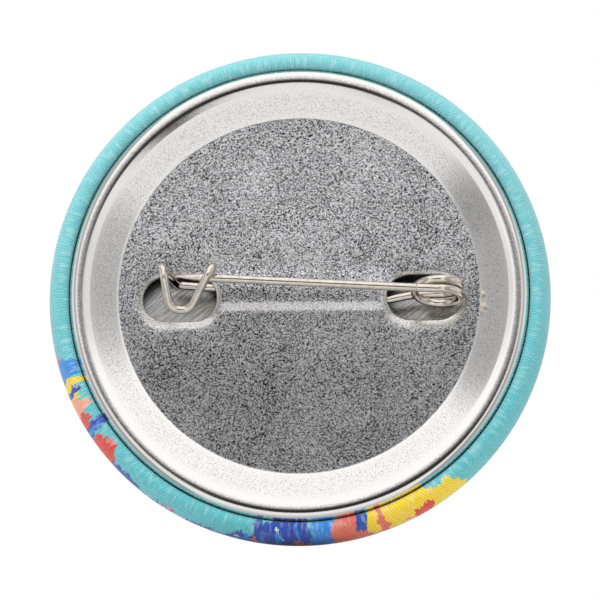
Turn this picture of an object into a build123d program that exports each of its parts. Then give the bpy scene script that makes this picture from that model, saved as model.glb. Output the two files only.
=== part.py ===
from build123d import *
import os
from math import atan2, cos, degrees, radians, sin, tan

# Cloth-covered button badge with a wire safety pin on its back. Millimetres.
# Every piece is drafted as seen from behind: x to the right, y up, z out of the back.
# z = 0 is the widest circle of the badge. place() then stands each piece up as it is worn:
# back towards +Y, printed face towards -Y, top towards +Z.

os.makedirs("parts", exist_ok=True)

# Badge body
BADGE_R = 28.0            # widest radius, over the cloth
CREST_Z = 3.2             # back rim's crest, which bears on the garment
FRONT_DEPTH = 2.8         # centre of the domed front, in front of the widest circle
CLOTH_T = 0.25
SHELL_T = 0.25
PLATE_T = 0.3
BED_GAP = 0.01            # between the cloth and the shell that it is stretched over

# Outline that the cloth and the shell share, as radii of its outer face
FRONT_CORNER_R = 1.8
SIDE_R = 4.5
SIDE_TURN = 33.0          # degrees that the side arc turns inwards before the back roll
ROLL_R = 0.8
CLOTH_TUCK_Z = 0.7        # where the tucked edges of the cloth and the shell end
SHELL_LIP_Z = 1.2

# Back plate
FLOOR_Z = 1.85            # upper face of the flat disc
FLOOR_R = 20.16
FLOOR_EDGE_R = 0.2
WALL_TOP_R = 23.35        # the wall's straight slope ends here, and eases into the crest
WALL_TOP_Z = 2.96
WALL_TOP_ROLL = 3.0
SHOULDER_R = 24.1
SHOULDER_ROLL = 0.8
CREST_OUTER_ROLL = 0.8
SKIRT_R = 25.5
SKIRT_TURN_Z = 2.0        # below this the skirt flares out to its foot
SKIRT_FLARE_Z = 1.5
SKIRT_FOOT_R = 25.74
SKIRT_FOOT_Z = 0.8
SKIRT_ROLL = 0.5

# Two oval holes with a raised ridge between them, over the pin's fixed leg
HOLE_LENGTH = 8.2
HOLE_WIDTH = 5.1
HOLE_CENTRES = ((-13.32, -0.23), (13.89, -0.23))
RIDGE_HEIGHT = 0.8
RIDGE_Y = 0.37
RIDGE_FOOT_W = 4.2
RIDGE_TOP_W = 1.4
RIDGE_TOP_ROUND = 0.6
RIDGE_FOOT_ROUND = 0.9
RIDGE_MARGIN = 1.5        # flat strip drawn each side of the ridge, inside the sheet
RIDGE_OVERLAP = 1.2       # the ridge runs this far into each hole, and is cut off there
RIDGE_CLEAR = 0.4         # extra length of the hollow below it

# Safety pin, bent from one wire
WIRE_R = 0.465
COIL_CENTRE = Vector(15.45, -0.07, 4.07)
COIL_R = 2.535            # to the middle of the wire
COIL_PITCH = 1.16
COIL_TURNS = 1.5
COIL_LEAN = 14.0          # degrees that the coil's axis leans into the badge
PIVOT = Vector(13.19, -0.17, 6.63)    # where the arm's flexing is taken to happen
ARM_UNDER_CATCH = Vector(-9.84, 1.26, 5.88)
PIVOT_GAP = 0.05
TIP_X = -13.71
TAPER_LENGTH = 3.3
POINT_R = 0.06

COIL_SIDES = 8            # corners that one turn of the coil is drawn round
COIL_ROUND = 0.96         # how nearly the arcs between them fill the turn
COIL_LEAD_X = 13.2        # where the coil is taken to end and the fixed leg to begin
LEG_KNEE = Vector(12.38, 0.01, 1.45)
LEG_BEND = Vector(9.47, -0.57, 1.53)
LEG_BEND_RADII = (6.0, 5.0)
LEG_END = Vector(-12.34, 1.24, 1.55)  # where the fixed leg ends and the catch begins

# Catch: two arches over the arm with a U between them, in a plane that slopes like a roof
CATCH_LEAD = 1.15         # the leg runs on this far before it turns up
CATCH_HEEL_R = 0.8
RISER_TOP = (-15.1, 4.85)             # x and z where the first arch begins
FIRST_ARCH_X = -15.05
SECOND_ARCH_X = -9.33
CATCH_END = (-9.42, 4.55)             # x and z of the wire's end, behind the second arch
ARCH_Y = 2.52             # outside of the two arches that hook over the arm
ARCH_R = 1.2
U_BOTTOM = (-13.76, -5.23)
U_R = 1.5
ROOF_SLOPE = 30.0
ROOF_REF = Vector(0, 0.72, 6.81)


def place(shape, label):
    """Stand a drafted piece up as it is worn, with its origin on the garment's plane."""
    worn = Plane(origin=(0, -CREST_Z, 0), x_dir=(-1, 0, 0), z_dir=(0, 1, 0))
    moved = worn.location * shape
    moved.label = label
    export_step(moved, f"parts/{label}.step")
    solids = moved.solids()
    print(label, "solids", len(solids), "volume", round(sum(s.volume for s in solids), 3))
    return moved


def turned(edges):
    """Turn a closed half-section, drawn as radius and height, about the badge's axis."""
    return revolve(Plane.XZ * make_face(edges), Axis.Z)


def skin_edges(inset, tuck_z):
    """Outline from the centre of the front to the tucked edge, inset from the cloth's face."""
    corner_r = FRONT_CORNER_R - inset
    corner_x = BADGE_R - FRONT_CORNER_R
    dome_z = (corner_x**2 - (FRONT_DEPTH - FRONT_CORNER_R) ** 2) / (2 * (FRONT_DEPTH - FRONT_CORNER_R))
    dome_r = dome_z + FRONT_DEPTH - inset
    dome_angle = degrees(atan2(corner_x, dome_z))
    dome = CenterArc((0, dome_z), dome_r, 270, dome_angle)
    corner = CenterArc((corner_x, 0), corner_r, 270 + dome_angle, 90 - dome_angle)
    side_x = BADGE_R - SIDE_R
    side = CenterArc((side_x, 0), SIDE_R - inset, 0, SIDE_TURN)
    reach = SIDE_R - ROLL_R
    roll_x = side_x + reach * cos(radians(SIDE_TURN))
    roll_z = reach * sin(radians(SIDE_TURN))
    roll = CenterArc((roll_x, roll_z), ROLL_R - inset, SIDE_TURN, 180 - SIDE_TURN)
    tuck = Line(roll @ 1, ((roll @ 1).X, tuck_z))
    return [dome, corner, side, roll, tuck]


def skin(outer_inset, thickness, tuck_z):
    """A pressed or stretched layer between two insets of the shared outline."""
    outer = skin_edges(outer_inset, tuck_z)
    inner = skin_edges(outer_inset + thickness, tuck_z)
    centre = Line(outer[0] @ 0, inner[0] @ 0)
    edge = Line(outer[-1] @ 1, inner[-1] @ 1)
    return turned(outer + inner + [centre, edge])


def plate_section():
    """Half-section of the back plate, from its centre out over the rim and down the skirt."""
    upper = FilletPolyline(
        (0, FLOOR_Z),
        (FLOOR_R, FLOOR_Z),
        (WALL_TOP_R, WALL_TOP_Z),
        (SHOULDER_R, CREST_Z),
        (SKIRT_R, CREST_Z),
        (SKIRT_R, SKIRT_TURN_Z),
        (SKIRT_FOOT_R, SKIRT_FLARE_Z),
        (SKIRT_FOOT_R, SKIRT_FOOT_Z),
        radius=(FLOOR_EDGE_R, WALL_TOP_ROLL, SHOULDER_ROLL, CREST_OUTER_ROLL, SKIRT_ROLL, SKIRT_ROLL),
    )
    return offset(upper, PLATE_T, side=Side.RIGHT).edges()


def ridge_solid(sink, length):
    """Rounded ridge along x. sink lowers it by the sheet's thickness for its inside."""
    foot = RIDGE_FOOT_W / 2 - sink * 0.6
    top = RIDGE_TOP_W / 2 - sink * 0.3
    base_z = FLOOR_Z - PLATE_T - sink
    run = FilletPolyline(
        (RIDGE_Y - foot - RIDGE_MARGIN, base_z),
        (RIDGE_Y - foot - RIDGE_MARGIN, FLOOR_Z - sink),
        (RIDGE_Y - foot, FLOOR_Z - sink),
        (RIDGE_Y - top, FLOOR_Z + RIDGE_HEIGHT - sink),
        (RIDGE_Y + top, FLOOR_Z + RIDGE_HEIGHT - sink),
        (RIDGE_Y + foot, FLOOR_Z - sink),
        (RIDGE_Y + foot + RIDGE_MARGIN, FLOOR_Z - sink),
        (RIDGE_Y + foot + RIDGE_MARGIN, base_z),
        radius=(0, 0, RIDGE_FOOT_ROUND, RIDGE_TOP_ROUND, RIDGE_TOP_ROUND, RIDGE_FOOT_ROUND, 0, 0),
        close=True,
    )
    section = Plane.YZ * make_face(run)
    middle = (HOLE_CENTRES[0][0] + HOLE_CENTRES[1][0]) / 2
    return Pos(middle - length / 2, 0, 0) * extrude(section, length)


def make_plate():
    sheet = turned(plate_section())
    ridge_length = HOLE_CENTRES[1][0] - HOLE_CENTRES[0][0] - HOLE_LENGTH + 2 * RIDGE_OVERLAP
    plate = sheet + ridge_solid(0, ridge_length)
    plate -= ridge_solid(PLATE_T, ridge_length + RIDGE_CLEAR)
    for x, y in HOLE_CENTRES:
        plate -= Pos(x, y, 0) * extrude(SlotOverall(HOLE_LENGTH, HOLE_WIDTH), CREST_Z)
    return plate


def wire_along(path):
    """Round wire swept along a path, with flat ends square to it."""
    start = Plane(origin=path @ 0, z_dir=path % 0)
    return sweep(start * Circle(WIRE_R), path=path)


def coil_corners():
    """Corners of the coil's turns: a helix about the leaning axis, drawn around the wire's line."""
    lean = radians(COIL_LEAN)
    axis = Vector(0, cos(lean), -sin(lean))
    up = Vector(0, sin(lean), cos(lean))
    half_step = 180 / COIL_SIDES
    reach = COIL_R / cos(radians(half_step))
    corners = []
    for index in range(round(COIL_SIDES * COIL_TURNS)):
        angle = half_step * (2 * index + 1)
        advance = COIL_PITCH * (angle / 360 - COIL_TURNS / 2)
        ring = up * cos(radians(angle)) + Vector(1, 0, 0) * sin(radians(angle))
        corners.append(COIL_CENTRE + axis * advance + ring * reach)
    return corners


def on_run(start, end, x):
    """Point with a given x on the straight run between two points."""
    return start + (end - start) * ((x - start.X) / (end.X - start.X))


def arm_frame():
    """Plane at the arm's pivot, with z along the arm towards its point."""
    return Plane(origin=PIVOT, z_dir=(ARM_UNDER_CATCH - PIVOT).normalized())


def make_coil():
    """Coil of the pin, with short straight leads to the arm's pivot and to the leg."""
    corners = coil_corners()
    leg_lead = on_run(corners[-1], LEG_KNEE, COIL_LEAD_X)
    path = FilletPolyline(PIVOT, *corners, leg_lead, radius=COIL_R * COIL_ROUND)
    return wire_along(path) - Pos(PIVOT) * Sphere(WIRE_R + PIVOT_GAP)


def make_fixed_leg():
    """Straight leg under the ridge, joining the coil's foot to the catch."""
    start = on_run(coil_corners()[-1], LEG_KNEE, COIL_LEAD_X)
    return wire_along(FilletPolyline(start, LEG_KNEE, LEG_BEND, LEG_END, radius=LEG_BEND_RADII))


def roof_point(x, y):
    """Point of the sloping roof plane of the catch, above x and y."""
    return Vector(x, y, ROOF_REF.Z + (y - ROOF_REF.Y) * tan(radians(ROOF_SLOPE)))


def make_catch():
    """Catch: the wire rises, hooks over the arm, runs round a U and hooks over it again."""
    along = (LEG_END - LEG_BEND).normalized()
    path = FilletPolyline(
        LEG_END,
        LEG_END + along * CATCH_LEAD,
        (RISER_TOP[0], ARCH_Y, RISER_TOP[1]),
        roof_point(FIRST_ARCH_X, ARCH_Y),
        roof_point(*U_BOTTOM),
        roof_point(SECOND_ARCH_X, ARCH_Y),
        (CATCH_END[0], ARCH_Y, CATCH_END[1]),
        radius=(CATCH_HEEL_R, ARCH_R, ARCH_R, U_R, ARCH_R),
    )
    return wire_along(path)


def make_arm():
    """Pin arm, pointing at its tip, with a round root at the pivot."""
    frame = arm_frame()
    length = (frame.origin.X - TIP_X) / -frame.z_dir.X
    shank = length - TAPER_LENGTH
    arm = Sphere(WIRE_R) + extrude(Circle(WIRE_R), shank)
    point = Solid.make_cone(WIRE_R, POINT_R, TAPER_LENGTH, Plane(origin=(0, 0, shank)))
    return frame.location * (arm + point)


def main():
    place(skin(0, CLOTH_T, CLOTH_TUCK_Z), "fabric_cover")
    place(skin(CLOTH_T + BED_GAP, SHELL_T, SHELL_LIP_Z), "front_shell")
    place(make_plate(), "back_plate")
    place(make_coil(), "pin_coil")
    place(make_fixed_leg(), "pin_fixed_leg")
    place(make_catch(), "pin_catch")
    place(make_arm(), "pin_arm")


main()
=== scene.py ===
import math

import bmesh
import bpy
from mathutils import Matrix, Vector, geometry, noise


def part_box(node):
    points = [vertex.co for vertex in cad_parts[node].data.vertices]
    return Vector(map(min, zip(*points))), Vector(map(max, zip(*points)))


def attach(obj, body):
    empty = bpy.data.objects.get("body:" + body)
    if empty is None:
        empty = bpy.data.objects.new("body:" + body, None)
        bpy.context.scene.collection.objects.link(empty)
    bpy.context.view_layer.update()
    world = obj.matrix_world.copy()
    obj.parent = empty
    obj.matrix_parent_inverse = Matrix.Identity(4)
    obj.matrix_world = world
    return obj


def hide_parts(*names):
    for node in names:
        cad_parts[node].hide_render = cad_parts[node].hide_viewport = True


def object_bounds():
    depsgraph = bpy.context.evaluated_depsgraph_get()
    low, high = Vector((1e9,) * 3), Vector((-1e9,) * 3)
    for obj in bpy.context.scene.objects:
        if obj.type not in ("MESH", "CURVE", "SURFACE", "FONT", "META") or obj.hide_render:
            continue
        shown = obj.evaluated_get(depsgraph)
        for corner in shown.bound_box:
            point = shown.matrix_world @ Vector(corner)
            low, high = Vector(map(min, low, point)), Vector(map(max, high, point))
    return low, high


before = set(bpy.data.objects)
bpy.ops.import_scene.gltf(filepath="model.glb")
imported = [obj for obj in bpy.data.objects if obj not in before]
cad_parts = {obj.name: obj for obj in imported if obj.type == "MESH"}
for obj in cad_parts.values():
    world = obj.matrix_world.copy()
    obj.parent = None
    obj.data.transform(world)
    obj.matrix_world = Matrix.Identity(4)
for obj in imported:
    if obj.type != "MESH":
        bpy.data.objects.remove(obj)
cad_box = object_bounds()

# Cloth-covered button badge, seen from behind. Every piece is drafted in millimetres with
# x to the right, y up and z out of the back, and z = 0 at the badge's widest circle.
# worn() takes a drafted point to the frame: back towards +Y, top towards +Z, metres.

MM = 0.001
CREST_Z = 3.2                          # back rim's crest, which lies in the plane Y = 0
cover_low, cover_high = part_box("fabric_cover")
BADGE_R = cover_high.z / MM
FRONT_DEPTH = -cover_low.y / MM - CREST_Z

# Outline that the cloth and the shell share
CLOTH_T = 0.25
SHELL_T = 0.25
SHELL_INSET = 0.26
FRONT_CORNER_R = 1.8
SIDE_R = 4.5
SIDE_TURN = 33.0
ROLL_R = 0.8
CLOTH_TUCK_Z = 0.7
SHELL_LIP_Z = 1.2

# Back plate
PLATE_T = 0.3
FLOOR_Z = 1.85
FLOOR_R = 20.16
WALL_TOP = (23.35, 2.96)
CREST_R = 24.46
CREST_ARCH_R = 1.8
CREST_INNER_TURN = 15.0                # degrees of the arch inside and outside its summit
CREST_OUTER_TURN = 14.0
SKIRT_R = 25.64
FOOT_R = 25.74
FOOT_Z = 0.8
MESH_SPLIT_R = 19.9                    # inside this the plate is a free mesh, outside it rings
HOLE_LENGTH = 8.2
HOLE_WIDTH = 5.1
HOLE_CENTRES = (Vector((-13.32, -0.23)), Vector((13.89, -0.23)))
RIDGE_Y = 0.37
RIDGE_HEIGHT = 0.7
RIDGE_TOP_W = 1.0
RIDGE_FOOT_W = 4.9
RIDGE_SKIRT = (1.4, 4.0, 0.12)         # its gentle foot: start, end and height
RIDGE_END_X = (8.6, 11.2)              # the ridge fades out between these

# Safety pin
WIRE_R = 0.465
COIL_CENTRE = Vector((15.45, -0.07, 4.07))
COIL_R = 2.535
COIL_PITCH = 1.16
COIL_TURNS = 1.5
COIL_LEAN = math.radians(14)
PIVOT = Vector((13.19, -0.17, 6.63))
ARM_UNDER_CATCH = Vector((-9.84, 1.26, 5.88))
TIP_X = -13.71
TAPER_LENGTH = 3.3
POINT_R = 0.06
LEG_KNEE = Vector((12.38, 0.01, 1.45))
LEG_BEND = Vector((9.47, -0.57, 1.53))
LEG_END = Vector((-12.34, 1.24, 1.55))
CATCH_LEAD = 1.15
ARCH_Y = 2.52
RISER_TOP = (-15.1, 4.85)
FIRST_ARCH_X = -15.05
SECOND_ARCH_X = -9.33
CATCH_END = (-9.42, 4.55)
U_BOTTOM = (-13.76, -5.23)
ROOF_SLOPE = math.radians(30)
ROOF_REF = Vector((0, 0.72, 6.81))


def worn(point):
    return Vector((-point[0], point[2] - CREST_Z, point[1])) * MM


def rgb(red, green, blue):
    """Linear colour of a screen colour given as 0 to 255."""
    channels = [value / 255 for value in (red, green, blue)]
    linear = [c / 12.92 if c <= 0.04045 else ((c + 0.055) / 1.055) ** 2.4 for c in channels]
    return (*linear, 1.0)


def smoothstep(low, high, value):
    share = min(max((value - low) / (high - low), 0.0), 1.0)
    return share * share * (3 - 2 * share)


# ---------------------------------------------------------------- outlines and paths

def rounded(points, radii, step):
    """Points along straight runs joined by tangent arcs, about step apart on the arcs."""
    points = [Vector(p) for p in points]
    path = [points[0]]
    for before, corner, after, radius in zip(points, points[1:], points[2:], radii):
        back = (before - corner).normalized()
        ahead = (after - corner).normalized()
        turn = math.pi - back.angle(ahead)
        if radius == 0 or turn < 1e-4:
            path.append(corner)
            continue
        reach = radius * math.tan(turn / 2)
        start = corner + back * reach
        middle = corner + (back + ahead).normalized() * radius / math.cos(turn / 2)
        spoke = start - middle
        along = -back
        count = max(3, math.ceil(radius * turn / step))
        for index in range(count + 1):
            angle = turn * index / count
            path.append(middle + spoke * math.cos(angle) + along * (radius * math.sin(angle)))
    path.append(points[-1])
    return path


def evened(path, step):
    """The same path with its long runs divided, so that no two points are over step apart."""
    result = [path[0]]
    for start, end in zip(path, path[1:]):
        length = (end - start).length
        if length < 1e-5:
            continue
        count = max(1, math.ceil(length / step))
        result += [start.lerp(end, index / count) for index in range(1, count + 1)]
    return result


def arc(centre, radius, start, turn, count):
    """Points of an arc in the half-section plane. Angles are in degrees from the outward side."""
    angles = [math.radians(start + turn * index / count) for index in range(count + 1)]
    return [Vector((centre[0] + radius * math.cos(a), centre[1] + radius * math.sin(a))) for a in angles]


def skin_outline(inset, tuck_z, fineness):
    """Half-section from the centre of the front, round the rim, to the tucked edge."""
    corner_x = BADGE_R - FRONT_CORNER_R
    fall = FRONT_DEPTH - FRONT_CORNER_R
    dome_z = (corner_x ** 2 - fall ** 2) / (2 * fall)
    dome_turn = math.degrees(math.atan2(corner_x, dome_z))
    side_x = BADGE_R - SIDE_R
    reach = SIDE_R - ROLL_R
    turn = math.radians(SIDE_TURN)
    roll_centre = (side_x + reach * math.cos(turn), reach * math.sin(turn))
    outline = arc((0, dome_z), dome_z + FRONT_DEPTH - inset, 270, dome_turn, 5 * fineness)
    corner_r = FRONT_CORNER_R - inset
    outline += arc((corner_x, 0), corner_r, 270 + dome_turn, 90 - dome_turn, fineness)[1:]
    outline += arc((side_x, 0), SIDE_R - inset, 0, SIDE_TURN, fineness)[1:]
    outline += arc(roll_centre, ROLL_R - inset, SIDE_TURN, 180 - SIDE_TURN, fineness + 4)[1:]
    end = outline[-1]
    outline += [Vector((end.x, end.y + (tuck_z - end.y) * k / 5)) for k in range(1, 6)]
    return outline


# ---------------------------------------------------------------- meshes

def make_piece(name, points, faces, finish, nodes):
    """Mesh piece from drafted points, hiding the CAD nodes that it stands for."""
    mesh = bpy.data.meshes.new(name)
    mesh.from_pydata([worn(p) for p in points], [], faces)
    mesh.validate()
    mesh.polygons.foreach_set("use_smooth", [True] * len(mesh.polygons))
    mesh.materials.append(finish)
    piece = bpy.data.objects.new(name, mesh)
    bpy.context.scene.collection.objects.link(piece)
    if nodes:
        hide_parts(*nodes)
    return piece


def give_attribute(piece, name, vectors):
    """Store one vector per point, for the material to read."""
    attribute = piece.data.attributes.new(name, "FLOAT_VECTOR", "POINT")
    attribute.data.foreach_set("vector", [value for vector in vectors for value in vector])


def bake_modifiers(piece):
    graph = bpy.context.evaluated_depsgraph_get()
    baked = bpy.data.meshes.new_from_object(piece.evaluated_get(graph))
    piece.modifiers.clear()
    piece.data = baked


def turned(outline, segments, start_index=0):
    """Points and faces of an outline turned about the axis. A point on the axis is a pole."""
    points = []
    rings = []
    for spot in outline:
        if spot[0] < 1e-6:
            rings.append([start_index + len(points)])
            points.append(Vector((0, 0, spot[1])))
            continue
        rings.append([start_index + len(points) + k for k in range(segments)])
        for k in range(segments):
            angle = 2 * math.pi * k / segments
            points.append(Vector((spot[0] * math.cos(angle), spot[0] * math.sin(angle), spot[1])))
    faces = []
    for low, high in zip(rings, rings[1:]):
        for k in range(segments):
            after = (k + 1) % segments
            corners = [low[k % len(low)], low[after % len(low)], high[after % len(high)], high[k % len(high)]]
            face = [c for i, c in enumerate(corners) if c not in corners[:i]]
            faces.append(face[::-1])
    return points, faces


def tube(path, radius_at, sides):
    """Round wire along a path, with its frame carried along so that it doesn't twist."""
    tangents = []
    for index in range(len(path)):
        before = path[max(index - 1, 0)]
        after = path[min(index + 1, len(path) - 1)]
        tangents.append((after - before).normalized())
    side = tangents[0].orthogonal().normalized()
    points = []
    lengths = []
    length = 0.0
    for index, (spot, tangent) in enumerate(zip(path, tangents)):
        if index:
            side = tangents[index - 1].rotation_difference(tangent) @ side
            length += (spot - path[index - 1]).length
        side = (side - tangent * side.dot(tangent)).normalized()
        across = tangent.cross(side)
        radius = radius_at(length)
        for k in range(sides):
            angle = 2 * math.pi * k / sides
            points.append(spot + (side * math.cos(angle) + across * math.sin(angle)) * radius)
            lengths.append((length, angle, 0.0))
    faces = []
    for ring in range(len(path) - 1):
        for k in range(sides):
            after = (k + 1) % sides
            row, above = ring * sides, (ring + 1) * sides
            faces.append([row + k, row + after, above + after, above + k])
    for ring, tangent_sign in ((0, -1), (len(path) - 1, 1)):
        centre = len(points)
        points.append(path[ring])
        lengths.append(lengths[ring * sides])
        for k in range(sides):
            pair = [ring * sides + k, ring * sides + (k + 1) % sides]
            faces.append((pair if tangent_sign > 0 else pair[::-1]) + [centre])
    return points, faces, lengths


# ---------------------------------------------------------------- finishes

class Nodes:
    """A node tree with short calls for the nodes that it is made of."""

    def __init__(self, tree):
        self.tree = tree
        self.tree.nodes.clear()

    def add(self, kind):
        return self.tree.nodes.new(kind)

    def link(self, source, socket):
        self.tree.links.new(source, socket)

    def feed(self, socket, value):
        if isinstance(value, bpy.types.NodeSocket):
            self.link(value, socket)
        else:
            socket.default_value = value

    def math(self, operation, first, second=0.0):
        node = self.add("ShaderNodeMath")
        node.operation = operation
        self.feed(node.inputs[0], first)
        self.feed(node.inputs[1], second)
        return node.outputs[0]

    def times(self, first, second):
        return self.math("MULTIPLY", first, second)

    def plus(self, first, second):
        return self.math("ADD", first, second)

    def less(self, first, second):
        return self.math("SUBTRACT", first, second)

    def distance(self, value, centre):
        return self.math("ABSOLUTE", self.less(value, centre))

    def square(self, value):
        return self.times(value, value)

    def vector(self, operation, first, second=(0, 0, 0), scale=1.0):
        node = self.add("ShaderNodeVectorMath")
        node.operation = operation
        self.feed(node.inputs[0], first)
        self.feed(node.inputs[1], second)
        if operation == "SCALE":
            self.feed(node.inputs["Scale"], scale)
        return node.outputs["Value" if operation in ("LENGTH", "DISTANCE", "DOT_PRODUCT") else "Vector"]

    def parts(self, vector):
        node = self.add("ShaderNodeSeparateXYZ")
        self.feed(node.inputs[0], vector)
        return node.outputs

    def join(self, x, y, z):
        node = self.add("ShaderNodeCombineXYZ")
        for socket, value in zip(node.inputs, (x, y, z)):
            self.feed(socket, value)
        return node.outputs[0]

    def attribute(self, name):
        node = self.add("ShaderNodeAttribute")
        node.attribute_name = name
        return node.outputs["Vector"]

    def step(self, value, low, high, start=0.0, end=1.0):
        """Smooth step of a value from low to high."""
        node = self.add("ShaderNodeMapRange")
        node.interpolation_type = "SMOOTHSTEP"
        for socket, number in zip(node.inputs, (value, low, high, start, end)):
            self.feed(socket, number)
        return node.outputs[0]

    def band(self, value, centre, half_width):
        """1 at the centre of a soft-edged band and 0 outside it."""
        return self.step(self.distance(value, centre), half_width, half_width * 0.3)

    def noise(self, vector, scale, detail=2.0, roughness=0.5, distortion=0.0):
        node = self.add("ShaderNodeTexNoise")
        self.feed(node.inputs["Vector"], vector)
        node.inputs["Distortion"].default_value = distortion
        node.inputs["Scale"].default_value = scale
        node.inputs["Detail"].default_value = detail
        node.inputs["Roughness"].default_value = roughness
        return node.outputs["Fac"]

    def noise_vector(self, vector, scale, size):
        """Small random offset, up to about half of size each way."""
        node = self.add("ShaderNodeTexNoise")
        self.feed(node.inputs["Vector"], vector)
        node.inputs["Scale"].default_value = scale
        centred = self.vector("SUBTRACT", node.outputs["Color"], (0.5, 0.5, 0.5))
        return self.vector("SCALE", centred, scale=size)

    def mix(self, share, first, second, blend="MIX"):
        node = self.add("ShaderNodeMix")
        node.data_type = "RGBA"
        node.blend_type = blend
        self.feed(node.inputs["Factor"], share)
        self.feed(node.inputs[6], first)
        self.feed(node.inputs[7], second)
        return node.outputs[2]

    def grey(self, value):
        return self.join(value, value, value)


class Finish(Nodes):
    """A node material. x, y, z, place and radius are the drafted place in millimetres."""

    def __init__(self, name):
        self.material = bpy.data.materials.new(name)
        self.material.use_nodes = True
        super().__init__(self.material.node_tree)
        self.shader = self.add("ShaderNodeBsdfPrincipled")
        output = self.add("ShaderNodeOutputMaterial")
        self.link(self.shader.outputs["BSDF"], output.inputs["Surface"])
        place = self.add("ShaderNodeTexCoord").outputs["Object"]
        parts = self.parts(self.vector("SCALE", place, scale=1 / MM))
        self.x = self.times(parts[0], -1.0)
        self.y = parts[2]
        self.z = self.plus(parts[1], CREST_Z)
        self.place = self.join(self.x, self.y, self.z)
        self.radius = self.math("POWER", self.plus(self.square(self.x), self.square(self.y)), 0.5)

    def set(self, **values):
        for name, value in values.items():
            self.feed(self.shader.inputs[name.replace("_", " ")], value)

    def bump(self, height, depth, strength=1.0):
        """Raise the surface by height times depth, in millimetres."""
        node = self.add("ShaderNodeBump")
        node.inputs["Distance"].default_value = depth * MM
        self.feed(node.inputs["Strength"], strength)
        self.feed(node.inputs["Height"], height)
        self.feed(self.shader.inputs["Normal"], node.outputs["Normal"])


TURQUOISE = rgb(98, 190, 196)
# Turquoise paled by painted light from above, for the top of the rim
PAINTED_TOP_LIGHT_TURQUOISE = rgb(124, 198, 202)
DEEP_TURQUOISE = rgb(74, 166, 176)
ROYAL_BLUE = rgb(35, 72, 165)
LIGHT_BLUE = rgb(45, 135, 215)
CORAL = rgb(222, 110, 88)
SALMON = rgb(240, 160, 130)
RED = rgb(215, 62, 42)
YELLOW = rgb(240, 208, 40)
BARE_THREAD = rgb(205, 222, 226)

# Paint splashes of the print: angle in degrees from the right, distance from the middle of the
# flat cloth, half-lengths round the badge and towards its edge, in millimetres, and colour.
SPLASHES = (
    (194.5, 29.3, 0.8, 1.2, CORAL), (198, 30.6, 1.6, 2.9, LIGHT_BLUE),
    (203, 29.9, 1.7, 2.4, YELLOW), (201.6, 32.0, 0.4, 2.2, YELLOW),
    (203.4, 30.8, 0.45, 1.9, ROYAL_BLUE), (207, 30.2, 1.2, 2.3, SALMON),
    (210, 30.0, 0.8, 2.2, RED), (212.7, 31.0, 1.0, 3.2, ROYAL_BLUE),
    (218.4, 30.0, 2.1, 2.4, RED), (226, 29.5, 2.4, 1.2, ROYAL_BLUE),
    (235, 29.1, 3.0, 0.8, ROYAL_BLUE), (238.5, 29.3, 0.8, 0.5, CORAL),
    (248, 29.0, 3.0, 0.7, ROYAL_BLUE), (258.5, 29.9, 2.6, 1.7, ROYAL_BLUE),
    (263, 30.6, 2.2, 2.6, ROYAL_BLUE), (268, 31.3, 2.8, 4.2, ROYAL_BLUE),
    (276, 31.2, 1.6, 4.2, LIGHT_BLUE), (282, 30.8, 2.4, 3.8, CORAL),
    (285.4, 32.4, 1.1, 1.4, ROYAL_BLUE), (290, 31.2, 2.0, 4.0, YELLOW),
    (298, 30.8, 4.2, 3.4, YELLOW), (306, 30.0, 3.0, 2.4, YELLOW),
    (290, 31.2, 0.7, 3.8, CORAL), (295.7, 29.8, 0.7, 0.7, SALMON),
    (300, 29.9, 1.4, 1.5, RED), (260, 30.0, 0.5, 0.7, CORAL),
    (270, 30.2, 0.8, 0.8, CORAL), (272, 29.7, 0.6, 0.6, RED),
    (256, 29.9, 0.4, 0.5, BARE_THREAD), (265.3, 31.2, 0.4, 0.8, BARE_THREAD),
    (205, 22.0, 4.5, 5.5, YELLOW), (222, 20.0, 5.5, 5.0, RED), (240, 22.0, 5.0, 6.0, ROYAL_BLUE),
    (262, 21.0, 6.0, 6.5, LIGHT_BLUE), (285, 20.0, 5.5, 6.5, CORAL), (303, 20.0, 4.5, 5.5, YELLOW),
    (235, 12.5, 3.0, 4.5, CORAL), (265, 11.0, 3.4, 5.0, ROYAL_BLUE), (292, 11.5, 2.6, 4.2, LIGHT_BLUE),
    (212, 13.5, 2.2, 3.6, LIGHT_BLUE), (318, 14.0, 2.4, 3.6, RED), (250, 4.0, 2.0, 3.0, YELLOW),
)
THREAD_PITCH = 0.37
STROKE_R = 30.0                         # brush strokes keep their true width at this distance


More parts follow.
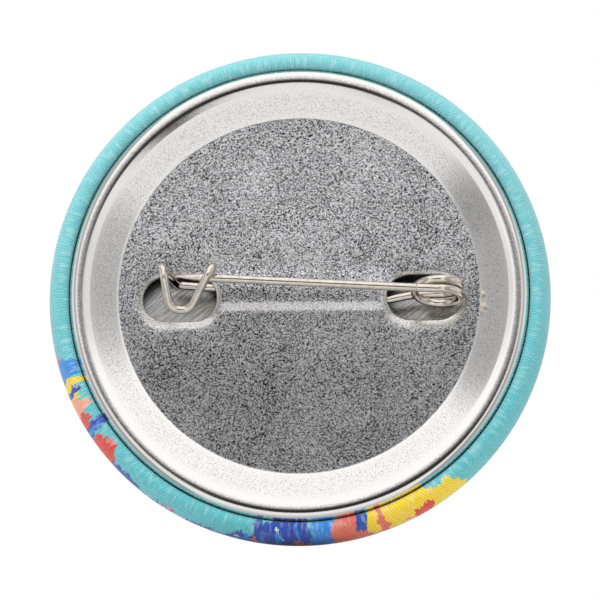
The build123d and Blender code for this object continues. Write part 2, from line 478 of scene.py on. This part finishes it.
def painted(cloth, cut, flat, strokes):
    """Colour of the print: turquoise, with paint splashes that end in brush strokes, and painted light paling
    it towards the top.
    """
    patches = cloth.noise(cut, 0.8, 3.0)
    spot = cloth.join(flat[0], flat[1], 0.0)
    shaken = cloth.vector("ADD", spot, cloth.noise_vector(spot, 0.45, 3.0))
    shaken = cloth.vector("ADD", shaken, cloth.noise_vector(spot, 2.6, 0.7))
    comb = cloth.times(cloth.less(cloth.noise(strokes, 1.0, 2.0), 0.5), 3.4)
    # Painted light: the cloth turns paler towards the top, as if lit from above
    colour = cloth.mix(cloth.step(cloth.y, -20.0, 26.0), TURQUOISE, PAINTED_TOP_LIGHT_TURQUOISE)
    colour = cloth.mix(cloth.times(patches, 0.35), colour, DEEP_TURQUOISE)
    blue_area = 0.0
    for angle, distance, half_round, half_out, paint in SPLASHES:
        heading = math.radians(angle)
        out = (math.cos(heading), math.sin(heading), 0)
        sideways = (-math.sin(heading), math.cos(heading), 0)
        offset = cloth.vector("SUBTRACT", shaken, tuple(distance * value for value in out))
        along_edge = cloth.vector("DOT_PRODUCT", offset, sideways)
        outward = cloth.plus(cloth.vector("DOT_PRODUCT", offset, out), comb)
        reach = cloth.join(
            cloth.math("DIVIDE", along_edge, half_round),
            cloth.math("DIVIDE", outward, half_out),
            0.0,
        )
        inside = cloth.step(cloth.vector("LENGTH", reach), 1.05, 0.9)
        colour = cloth.mix(inside, colour, paint)
        if paint == ROYAL_BLUE:
            blue_area = cloth.math("MAXIMUM", inside, blue_area)
    brush = cloth.noise(strokes, 0.55, 2.0)
    return cloth.mix(cloth.times(blue_area, cloth.step(brush, 0.6, 0.66)), colour, LIGHT_BLUE)


def cloth_finish():
    """Printed woven cloth: ribs both ways, paint splashes, and bare fibres by the seam."""
    cloth = Finish("printed_cloth")
    cut = cloth.attribute("cut")            # place on the flat cloth, and distance from the middle
    flat = cloth.parts(cut)
    shaken = cloth.vector("ADD", cut, cloth.noise_vector(cut, 1.1, 0.35))
    shaken = cloth.parts(shaken)
    turn = 2 * math.pi / THREAD_PITCH

    across = cloth.math("COSINE", cloth.times(shaken[0], turn))
    along = cloth.math("COSINE", cloth.times(shaken[1], turn))
    rim = cloth.step(flat[2], 25.0, 29.0)
    facing_side = cloth.math("DIVIDE", cloth.square(cloth.x), cloth.square(cloth.radius))
    side_share = cloth.step(facing_side, 0.15, 0.85)
    side_share = cloth.plus(cloth.times(cloth.less(side_share, 0.5), rim), 0.5)
    weave = cloth.plus(cloth.times(along, side_share), cloth.times(across, cloth.less(1.0, side_share)))
    knots = cloth.times(across, along)
    weave = cloth.plus(weave, cloth.times(knots, 0.35))
    fibres = cloth.noise(cut, 14.0, 3.0)
    round_run = cloth.times(cloth.math("ARCTAN2", flat[1], flat[0]), STROKE_R)
    strokes = cloth.join(cloth.times(round_run, 2.4), cloth.times(flat[2], 0.5), 0.0)
    colour = painted(cloth, cut, flat, strokes)
    shade = cloth.step(weave, -1.1, 0.9, 0.86, 1.04)
    colour = cloth.mix(1.0, colour, cloth.grey(shade), "MULTIPLY")
    near_seam = cloth.step(flat[2], 30.8, 32.2, 0.0, 1.0)
    threads = cloth.noise(cloth.join(round_run, cloth.times(flat[2], 0.3), 0.0), 2.2, 3.0)
    threads = cloth.step(cloth.plus(threads, cloth.times(fibres, 0.5)), 0.74, 0.92)
    bare = cloth.times(near_seam, threads)
    colour = cloth.mix(cloth.times(bare, 0.3), colour, BARE_THREAD)
    cloth.set(Base_Color=colour, Roughness=0.72)
    cloth.shader.inputs["Sheen Weight"].default_value = 0.35
    cloth.shader.inputs["Sheen Roughness"].default_value = 0.5
    cloth.shader.inputs["Specular IOR Level"].default_value = 0.3
    cloth.bump(cloth.plus(weave, cloth.times(fibres, 1.2)), 0.014)
    return cloth.material


def shell_finish():
    """Bare steel inside the shell, dull, with slanting scratches."""
    steel = Finish("shell_steel")
    slant = math.radians(38)
    along = steel.vector("DOT_PRODUCT", steel.place, (math.cos(slant), math.sin(slant), 0))
    across = steel.vector("DOT_PRODUCT", steel.place, (-math.sin(slant), math.cos(slant), 0))
    lines = steel.join(steel.times(along, 0.35), steel.times(across, 6.0), 0.0)
    scratch = steel.noise(lines, 1.0, 4.0, 0.65)
    broad = steel.noise(steel.place, 0.5, 2.0)
    tone = steel.plus(steel.step(scratch, 0.3, 0.7, 0.42, 0.9), steel.times(broad, 0.1))
    steel.set(Base_Color=steel.grey(tone), Metallic=1.0, Roughness=0.17)
    steel.bump(scratch, 0.012)
    return steel.material


def plate_finish():
    """Tinplate: grainy where it is flat, burnished on the pressed slopes, with a painted dark reflection
    along the crest and painted shade darkening the grainy parts towards the bottom.
    """
    tin = Finish("tinplate")
    lip = tin.parts(tin.attribute("lip"))       # first 1 at a hole's lip, second 1 on the ridge
    grain = tin.noise(tin.place, 6.6, 1.0, 0.5, 1.4)
    coarse = tin.noise(tin.place, 1.6, 2.0, 0.5)
    cloud = tin.noise(tin.place, 0.2, 2.0, 0.5)
    flat = tin.step(tin.radius, 20.3, 20.05)
    # Painted dark reflection: a grainy dark band along the crest of the rim
    painted_crest_dark_line = tin.times(tin.band(tin.radius, CREST_R, 0.5), tin.step(grain, 0.64, 0.44, 0.0, 0.5))
    burnished = tin.times(tin.band(lip[1], 0.5, 0.5), tin.step(tin.y, RIDGE_Y, RIDGE_Y - 0.4))
    polish = tin.math("MAXIMUM", tin.step(lip[0], 0.03, 0.4, 0.0, 0.7), tin.times(burnished, 0.6))
    raw = tin.times(flat, tin.less(1.0, polish))
    blotches = tin.plus(cloud, tin.times(coarse, 0.6))
    drift = tin.times(tin.less(blotches, 0.8), 0.12)
    pits = tin.step(tin.plus(grain, drift), 0.45, 0.54)
    raw_tone = tin.mix(pits, rgb(20, 20, 26), rgb(252, 252, 255))
    wall = tin.band(tin.radius, 21.8, 1.9)
    specks = tin.times(tin.step(grain, 0.5, 0.36), wall)
    # Real dark specks on the wall, together with the painted dark reflection along the crest
    wall_specks_and_painted_crest_line = tin.math("MAXIMUM", tin.times(specks, 0.45), painted_crest_dark_line)
    smooth_tone = tin.mix(wall_specks_and_painted_crest_line, rgb(246, 243, 240), rgb(118, 115, 117))
    # Painted shade: the grainy flat parts darken towards the bottom
    painted_bottom_shade = tin.step(tin.y, -14.0, 12.0, 0.6, 0.98)
    raw_tone = tin.mix(1.0, raw_tone, tin.grey(painted_bottom_shade), "MULTIPLY")
    tone = tin.mix(raw, smooth_tone, raw_tone)
    tin.set(Base_Color=tone, Metallic=1.0)
    tin.set(Roughness=tin.plus(tin.times(raw, 0.16), 0.1))
    depth = tin.plus(tin.times(raw, 0.94), 0.06)
    tin.bump(tin.plus(grain, tin.times(coarse, 0.5)), 0.045, depth)
    return tin.material


def wire_finish():
    """Polished nickel over a slightly drawn wire."""
    nickel = Finish("pin_wire")
    run = nickel.parts(nickel.attribute("along"))
    drawn = nickel.noise(nickel.join(nickel.times(run[0], 0.25), run[1], 0.0), 6.0, 3.0)
    cloud = nickel.noise(nickel.place, 1.5, 3.0)
    tone = nickel.mix(nickel.step(cloud, 0.3, 0.75), rgb(238, 230, 216), rgb(222, 213, 203))
    nickel.set(Base_Color=tone, Metallic=1.0)
    nickel.set(Roughness=nickel.step(drawn, 0.3, 0.8, 0.04, 0.1))
    nickel.bump(drawn, 0.003)
    return nickel.material


# ---------------------------------------------------------------- cloth and shell

COVER_SEGMENTS = 540
COVER_FINENESS = 16
RIPPLE = 0.04                          # puckers of the stretched cloth near the seam
RIPPLE_SINK = 0.01
CROWD_IN = 0.075                       # the cloth crowds this far over the plate's edge
CROWD_UP = 0.12


def make_cover(finish):
    """One round piece of cloth, stretched over the front and tucked in behind the rim."""
    outer = skin_outline(0, CLOTH_TUCK_Z, COVER_FINENESS)
    inner = skin_outline(CLOTH_T, CLOTH_TUCK_Z, COVER_FINENESS)
    points, faces = turned(outer + inner[::-1], COVER_SEGMENTS)
    runs = [0.0]
    for before, spot in zip(outer, outer[1:]):
        runs.append(runs[-1] + (spot - before).length)
    runs += runs[::-1]
    cut = []
    shaped = []
    for index, point in enumerate(points):
        ring = min((index + COVER_SEGMENTS - 1) // COVER_SEGMENTS, len(runs) - 1)
        reach = runs[ring]
        heading = Vector((point.x, point.y, 0))
        heading = heading.normalized() if heading.length > 1e-6 else Vector((1, 0, 0))
        cut.append((heading.x * reach, heading.y * reach, reach))
        tension = smoothstep(28.5, 32.0, reach)
        ripple = noise.noise(Vector((heading.x * 9, heading.y * 9, 1.7)))
        ripple += 0.6 * noise.noise(Vector((heading.x * 24, heading.y * 24, 5.1)))
        crowd = smoothstep(31.0, 32.6, reach) * smoothstep(1.5, 2.2, point.z)
        point = point - heading * (CROWD_IN * crowd) + Vector((0, 0, CROWD_UP * crowd))
        wave = tension * (RIPPLE * ripple - RIPPLE_SINK)
        shaped.append(point + (heading * 0.6 + Vector((0, 0, 0.8))) * wave)
    piece = make_piece("cloth_cover", shaped, faces, finish, ["fabric_cover"])
    give_attribute(piece, "cut", cut)
    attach(piece, "root")
    return piece


def make_shell(finish):
    outer = skin_outline(SHELL_INSET, SHELL_LIP_Z, 10)
    inner = skin_outline(SHELL_INSET + SHELL_T, SHELL_LIP_Z, 10)
    points, faces = turned(outer + inner[::-1], 240)
    piece = make_piece("front_shell_pressing", points, faces, finish, ["front_shell"])
    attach(piece, "root")
    return piece


# ---------------------------------------------------------------- back plate

PLATE_SEGMENTS = 480
LIP_RINGS = (0.0, 0.03, 0.07, 0.12, 0.2, 0.32, 0.48, 0.7, 0.95)
GRID = 0.34
LIP_DROP = 0.28                        # the sheet is drawn down this far at a hole's edge
EDGE_ROUND = 0.12
DIP = 0.15                             # wide shallow dip round each hole
DIP_W = 2.4
BULGE = 0.25                           # the disc stands this much proud at its middle
SAG = 0.03                             # unevenness of the disc


def hole_edge(centre, spread, step):
    """Points of a stadium outline, spread outwards from a hole's edge."""
    half = (HOLE_LENGTH - HOLE_WIDTH) / 2
    radius = HOLE_WIDTH / 2 + spread
    arc_count = math.ceil(math.pi * radius / step)
    run_count = math.ceil(2 * half / step)
    loop = []
    for side, start in ((1, -90), (-1, 90)):
        middle = centre + Vector((side * half, 0))
        for k in range(arc_count):
            angle = math.radians(start + 180 * k / arc_count)
            loop.append(middle + Vector((math.cos(angle), math.sin(angle))) * radius)
        for k in range(run_count):
            loop.append(middle + Vector((-side * 2 * half * k / run_count, side * radius)))
    return loop


def hole_distance(x, y):
    """Distance outside the nearer hole's edge, and the direction away from that hole."""
    half = (HOLE_LENGTH - HOLE_WIDTH) / 2
    centre = HOLE_CENTRES[0] if x < 0 else HOLE_CENTRES[1]
    offset = Vector((x - centre.x, y - centre.y))
    offset.x -= min(max(offset.x, -half), half)
    return offset.length - HOLE_WIDTH / 2, offset.normalized()


def lip_share(distance, away):
    """How far the punch has drawn the sheet down beside a hole: widest below it."""
    width = 0.6 + 1.3 * max(-away.y, 0) + 0.3 * abs(away.x)
    return max(1 - max(distance, 0) / width, 0) ** 2


def ridge_share(x, y):
    middle = (HOLE_CENTRES[0].x + HOLE_CENTRES[1].x) / 2
    off = abs(y - RIDGE_Y)
    across = 1 - smoothstep(RIDGE_TOP_W / 2, RIDGE_FOOT_W / 2, off)
    start, end, height = RIDGE_SKIRT
    foot = height / RIDGE_HEIGHT * (1 - smoothstep(start, end, off))
    return (across + foot) * (1 - smoothstep(*RIDGE_END_X, abs(x - middle)))


def floor_height(x, y):
    """Height of the plate's upper face inside the wall."""
    distance, away = hole_distance(x, y)
    ridge = ridge_share(x, y)
    beyond = max(distance, 0)
    drop = LIP_DROP * lip_share(distance, away) + DIP * max(1 - beyond / DIP_W, 0) ** 2
    height = FLOOR_Z + RIDGE_HEIGHT * ridge - drop * (1 - ridge)
    edge = max(1 - beyond / EDGE_ROUND, 0)
    height -= EDGE_ROUND * (1 - math.sqrt(1 - edge * edge))
    sag = noise.noise(Vector((x * 0.09, y * 0.09, 3.0)))
    height += BULGE * max(1 - (x * x + y * y) / MESH_SPLIT_R ** 2, 0) ** 1.5
    return height + SAG * sag * smoothstep(MESH_SPLIT_R, 16, math.hypot(x, y))


def plate_outline():
    """Half-section of the plate's upper face, from the split circle out and down the skirt."""
    arch_z = CREST_Z - CREST_ARCH_R
    arch_turn = CREST_INNER_TURN + CREST_OUTER_TURN
    arch = arc((CREST_R, arch_z), CREST_ARCH_R, 90 + CREST_INNER_TURN, -arch_turn, 16)
    lean = math.sin(math.radians(CREST_OUTER_TURN))
    rise = math.cos(math.radians(CREST_OUTER_TURN))
    roll_r = (SKIRT_R - CREST_R - CREST_ARCH_R * lean) / (1 - lean)
    reach = CREST_ARCH_R - roll_r
    roll_centre = (CREST_R + reach * lean, arch_z + reach * rise)
    roll = arc(roll_centre, roll_r, 90 - CREST_OUTER_TURN, CREST_OUTER_TURN - 90, 18)
    wall = rounded([(MESH_SPLIT_R, FLOOR_Z), (FLOOR_R, FLOOR_Z), WALL_TOP, arch[0]], (0.35, 0.6), 0.06)
    skirt = rounded([roll[-1], (SKIRT_R, 2.0), (FOOT_R, 1.5), (FOOT_R, FOOT_Z)], (0.5, 0.5), 0.12)
    return evened(wall + arch[1:] + roll[1:] + skirt[1:], 0.3)


def make_plate(finish):
    """Disc with two holes and a ridge, drawn up round its edge into a rolled rim."""
    rim, faces = turned(plate_outline(), PLATE_SEGMENTS)
    faces = [face[::-1] for face in faces]
    spots = [Vector((p.x, p.y)) for p in rim[:PLATE_SEGMENTS]]
    count = len(spots)
    edges = [(k, (k + 1) % count) for k in range(count)]
    for centre in HOLE_CENTRES:
        for spread in LIP_RINGS:
            loop = hole_edge(centre, spread, 0.16)
            if spread == 0:
                edges += [(len(spots) + k, len(spots) + (k + 1) % len(loop)) for k in range(len(loop))]
            spots += loop
    rows = int(MESH_SPLIT_R / (GRID * 0.866)) + 1
    for row in range(-rows, rows + 1):
        y = row * GRID * 0.866
        for column in range(-rows - 2, rows + 3):
            x = (column + 0.5 * (row % 2)) * GRID
            distance, away = hole_distance(x, y)
            if math.hypot(x, y) < MESH_SPLIT_R - 0.15 and distance > LIP_RINGS[-1] + 0.12:
                spots.append(Vector((x, y)))
    result = geometry.delaunay_2d_cdt(spots, edges, [], 1, 1e-5)
    flat_points, flat_faces = result[0], result[2]
    disc = [Vector((p.x, p.y, floor_height(p.x, p.y))) for p in flat_points]
    base = len(rim)
    for face in flat_faces:
        middle = sum((flat_points[k] for k in face), Vector((0, 0))) / len(face)
        if hole_distance(middle.x, middle.y)[0] > 0:
            faces.append([base + k for k in face])
    points = rim + disc
    lips = []
    for p in points:
        distance, away = hole_distance(p.x, p.y)
        inside = 1 - smoothstep(19.0, 20.0, math.hypot(p.x, p.y))
        lips.append((lip_share(max(distance, 0), away) * inside, ridge_share(p.x, p.y), 0.0))
    piece = make_piece("back_plate_pressing", points, faces, finish, ["back_plate"])
    give_attribute(piece, "lip", lips)
    tidy = bmesh.new()
    tidy.from_mesh(piece.data)
    bmesh.ops.remove_doubles(tidy, verts=tidy.verts, dist=0.002 * MM)
    loose = [v for v in tidy.verts if not v.link_faces]
    bmesh.ops.delete(tidy, geom=loose, context="VERTS")
    bmesh.ops.recalc_face_normals(tidy, faces=tidy.faces)
    tidy.to_mesh(piece.data)
    tidy.free()
    thicken = piece.modifiers.new("sheet", "SOLIDIFY")
    thicken.thickness = PLATE_T * MM
    thicken.offset = -1
    bake_modifiers(piece)
    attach(piece, "root")
    return piece


# ---------------------------------------------------------------- safety pin

WIRE_SIDES = 28
WIRE_STEP = 0.14


def coil_point(turns):
    """Middle of the wire after so many turns from the coil's top."""
    axis = Vector((0, math.cos(COIL_LEAN), -math.sin(COIL_LEAN)))
    up = Vector((0, math.sin(COIL_LEAN), math.cos(COIL_LEAN)))
    angle = 2 * math.pi * turns
    ring = up * math.cos(angle) + Vector((1, 0, 0)) * math.sin(angle)
    return COIL_CENTRE + axis * COIL_PITCH * (turns - COIL_TURNS / 2) + ring * COIL_R


def roof_point(x, y):
    return Vector((x, y, ROOF_REF.z + (y - ROOF_REF.y) * math.tan(ROOF_SLOPE)))


def make_fixed_wire(finish):
    """Coil, leg and catch, one wire bent and never cut."""
    count = round(COIL_TURNS * 2 * math.pi * COIL_R / WIRE_STEP)
    coil = [coil_point(COIL_TURNS * k / count) for k in range(count + 1)]
    lead = [PIVOT.lerp(coil[0], k / 16) for k in range(16)]
    along = (LEG_END - LEG_BEND).normalized()
    bends = [
        coil[-1],
        LEG_KNEE,
        LEG_BEND,
        LEG_END + along * CATCH_LEAD,
        Vector((RISER_TOP[0], ARCH_Y, RISER_TOP[1])),
        roof_point(FIRST_ARCH_X, ARCH_Y),
        roof_point(*U_BOTTOM),
        roof_point(SECOND_ARCH_X, ARCH_Y),
        Vector((CATCH_END[0], ARCH_Y, CATCH_END[1])),
    ]
    leg = rounded(bends, (6.0, 5.0, 0.8, 1.2, 1.2, 1.5, 1.2), WIRE_STEP)
    path = evened(lead + coil + leg[1:], WIRE_STEP * 2)
    points, faces, lengths = tube(path, lambda length: WIRE_R, WIRE_SIDES)
    nodes = ["pin_coil", "pin_fixed_leg", "pin_catch"]
    piece = make_piece("pin_wire_coil_leg_catch", points, faces, finish, nodes)
    give_attribute(piece, "along", lengths)
    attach(piece, "root")
    return piece


def make_arm(finish):
    """Pointed arm. Its round root turns inside the end of the coil's lead."""
    heading = (ARM_UNDER_CATCH - PIVOT).normalized()
    length = (TIP_X - PIVOT.x) / heading.x
    root = WIRE_R * 0.985
    start = PIVOT - heading * root
    path = [start + heading * root * (1 - math.cos(math.radians(9 * k))) for k in range(1, 10)]
    path += evened([PIVOT, PIVOT + heading * length], WIRE_STEP * 1.5)
    first = root * (1 - math.cos(math.radians(9)))

    def radius_at(run):
        run += first
        if run < root:
            return math.sqrt(root ** 2 - (root - run) ** 2)
        point = max(run - (root + length - TAPER_LENGTH), 0) / TAPER_LENGTH
        return WIRE_R + (POINT_R - WIRE_R) * point ** 1.15

    points, faces, lengths = tube(path, radius_at, WIRE_SIDES)
    piece = make_piece("pin_wire_arm", points, faces, finish, ["pin_arm"])
    give_attribute(piece, "along", lengths)
    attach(piece, "pin_arm")
    return piece


# ---------------------------------------------------------------- stage

CAMERA_TILT = math.radians(11.3)
CAMERA_DISTANCE = 1.119
CAMERA_LENS = 601.3
CAMERA_DROP = -0.00014                 # the camera aims this far below the badge's middle
CAMERA_SIDE = math.radians(2.4)        # the camera stands this far to the right of the badge's axis
GAP_LEAN = -0.04                       # sideways share of the dark gap's middle
FLOOR_HALF = 1.5
FLOOR_GAP = 0.0002                     # the floor is this far under the rim
WHITE = (1, 1, 1, 1)


def make_floor():
    """Plain pale floor under the badge's rim. It is see-through from below."""
    level = cad_box[0][2] - FLOOR_GAP
    corners = [(x * FLOOR_HALF, y * FLOOR_HALF, level) for x, y in ((-1, -1), (1, -1), (1, 1), (-1, 1))]
    mesh = bpy.data.meshes.new("floor")
    mesh.from_pydata(corners, [], [(0, 1, 2, 3)])
    floor = bpy.data.objects.new("floor", mesh)
    bpy.context.scene.collection.objects.link(floor)
    paint = bpy.data.materials.new("floor_paint")
    paint.use_nodes = True
    nodes = Nodes(paint.node_tree)
    output = nodes.add("ShaderNodeOutputMaterial")
    split = nodes.add("ShaderNodeMixShader")
    diffuse = nodes.add("ShaderNodeBsdfDiffuse")
    diffuse.inputs["Color"].default_value = (0.86, 0.86, 0.86, 1)
    clear = nodes.add("ShaderNodeBsdfTransparent")
    side = nodes.add("ShaderNodeNewGeometry")
    nodes.link(side.outputs["Backfacing"], split.inputs["Fac"])
    nodes.link(diffuse.outputs[0], split.inputs[1])
    nodes.link(clear.outputs[0], split.inputs[2])
    nodes.link(split.outputs[0], output.inputs["Surface"])
    mesh.materials.append(paint)
    floor.visible_glossy = False


def make_world():
    """White studio, greyer to the left and right, with a dark gap on the side of the badge's back.

    The parts of a direction are its sideways, backward and upward shares, from -1 to 1.
    """
    world = bpy.data.worlds.new("studio")
    bpy.context.scene.world = world
    world.use_nodes = True
    nodes = Nodes(world.node_tree)
    sideways, backward, upward = nodes.parts(nodes.add("ShaderNodeTexCoord").outputs["Generated"])

    spread = nodes.math("ABSOLUTE", sideways)
    sides = nodes.step(spread, 0.48, 0.565, 1.0, 0.42)
    sides = nodes.times(sides, nodes.step(spread, 0.74, 0.92, 1.0, 1.7))
    above = nodes.step(upward, -0.05, 0.05, 0.88, 1.08)
    deep = nodes.step(upward, -0.95, -0.6, 0.6, 1.0)

    beside = nodes.distance(sideways, GAP_LEAN)
    core = nodes.times(nodes.step(beside, 0.22, 0.32, 0.96, 0.0), nodes.step(upward, 0.035, 0.45, 1.0, 0.0))
    core = nodes.times(core, nodes.step(upward, -0.29, -0.22, 0.0, 1.0))
    haze = nodes.step(nodes.distance(upward, 0.16), 0.08, 0.22, 1.0, 0.0)
    haze = nodes.times(haze, nodes.step(beside, 0.38, 0.5, 0.35, 0.0))
    gap = nodes.times(nodes.math("MAXIMUM", core, haze), nodes.step(backward, 0.0, 0.1))
    level = nodes.times(nodes.times(above, deep), nodes.times(sides, nodes.less(1.0, gap)))

    studio = nodes.add("ShaderNodeBackground")
    studio.inputs["Color"].default_value = WHITE
    nodes.link(level, studio.inputs["Strength"])
    backdrop = nodes.add("ShaderNodeBackground")
    backdrop.inputs["Color"].default_value = WHITE
    choose = nodes.add("ShaderNodeMixShader")
    nodes.link(nodes.add("ShaderNodeLightPath").outputs["Is Camera Ray"], choose.inputs["Fac"])
    nodes.link(studio.outputs[0], choose.inputs[1])
    nodes.link(backdrop.outputs[0], choose.inputs[2])
    nodes.link(choose.outputs[0], nodes.add("ShaderNodeOutputWorld").inputs["Surface"])


def make_softbox(name, place, size, power):
    light = bpy.data.lights.new(name, "AREA")
    light.shape = "RECTANGLE"
    light.size, light.size_y = size
    light.energy = power
    lamp = bpy.data.objects.new(name, light)
    lamp.location = place
    lamp.rotation_euler = (-Vector(place)).to_track_quat("-Z", "Y").to_euler()
    lamp.visible_glossy = False
    bpy.context.scene.collection.objects.link(lamp)


def make_camera():
    data = bpy.data.cameras.new("camera")
    data.lens = CAMERA_LENS
    data.sensor_width = 36
    data.clip_start = 0.01
    camera = bpy.data.objects.new("camera", data)
    target = Vector((0, -CREST_Z * MM, CAMERA_DROP))
    level = math.cos(CAMERA_TILT)
    away = Vector((-math.sin(CAMERA_SIDE) * level, math.cos(CAMERA_SIDE) * level, -math.sin(CAMERA_TILT)))
    camera.location = target + away * CAMERA_DISTANCE
    camera.rotation_euler = (-away).to_track_quat("-Z", "Y").to_euler()
    bpy.context.scene.collection.objects.link(camera)
    bpy.context.scene.camera = camera


make_floor()
make_world()
make_softbox("overhead", (0.1, 0.25, 0.5), (0.5, 0.5), 2.6)
make_camera()
bpy.context.scene.view_settings.view_transform = "Standard"

wire = wire_finish()
cover = make_cover(cloth_finish())
make_shell(shell_finish())
make_plate(plate_finish())
make_fixed_wire(wire)
make_arm(wire)
